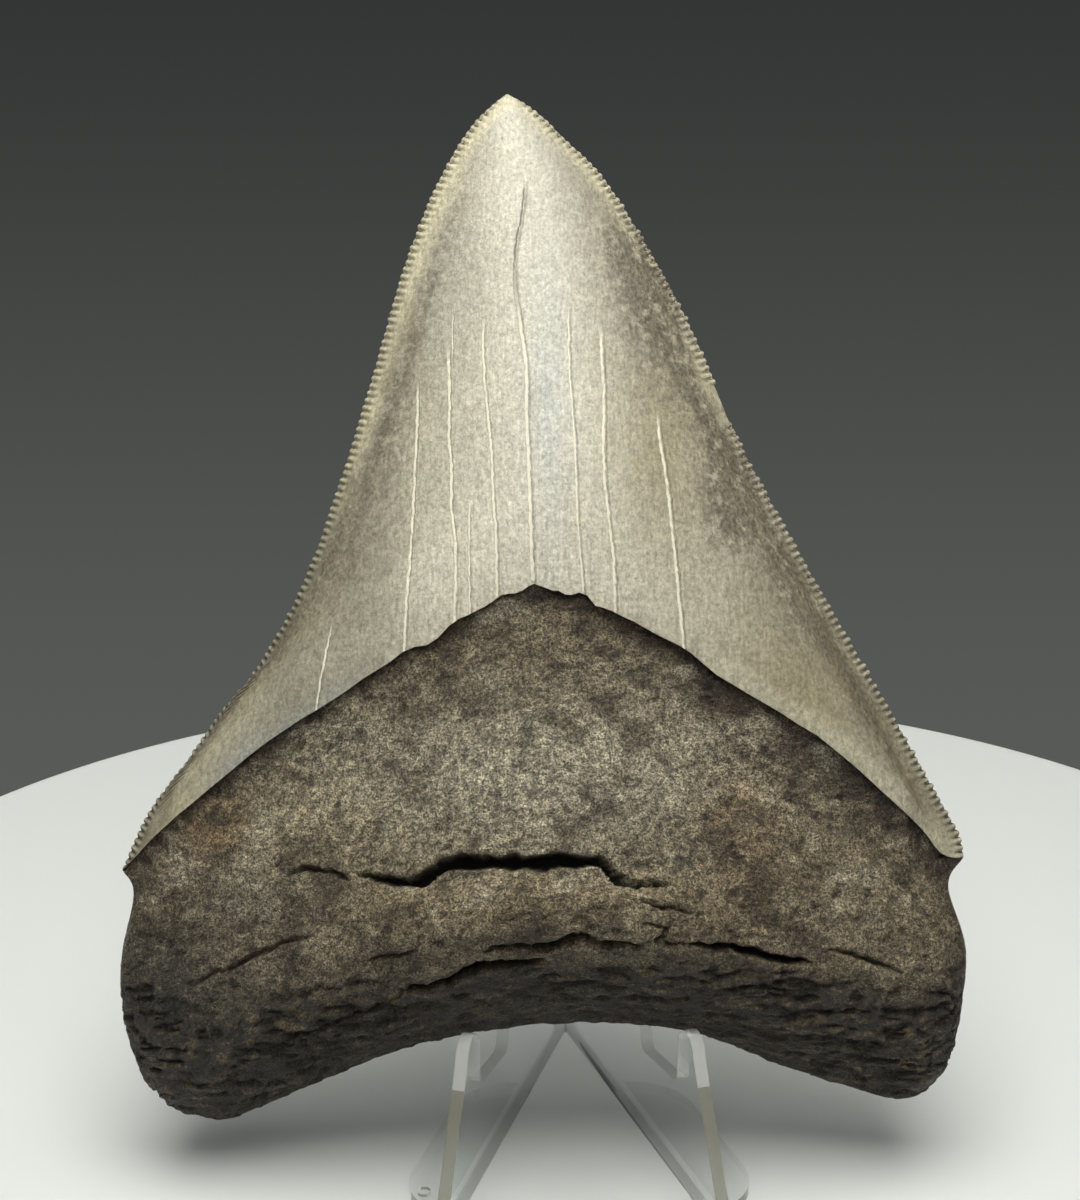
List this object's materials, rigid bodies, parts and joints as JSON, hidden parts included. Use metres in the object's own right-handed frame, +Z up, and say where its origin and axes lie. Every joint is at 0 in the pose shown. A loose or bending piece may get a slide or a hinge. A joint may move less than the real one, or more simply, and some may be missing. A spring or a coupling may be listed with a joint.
{
  "type": "megalodon tooth",
  "caption": "A fossil megalodon tooth with a serrated enamel blade and a cracked two-lobed root, standing on a clear moulded V easel.",
  "frame": {"origin": "on the floor, in the middle of the whole object's box", "axes": "+Z up from the floor towards the tooth's tip, -Y the front, which shows the tooth's inner face, +X to the right as seen from the front"},
  "size_m": [0.098, 0.051, 0.1215],
  "materials": {
    "tooth": "satin enamel blade over a rough, granular brown root",
    "easel": "clear, polished moulded acrylic"
  },
  "bodies": {
    "root": {"tooth": "tooth", "easel": "easel"}
  },
  "joints": []
}
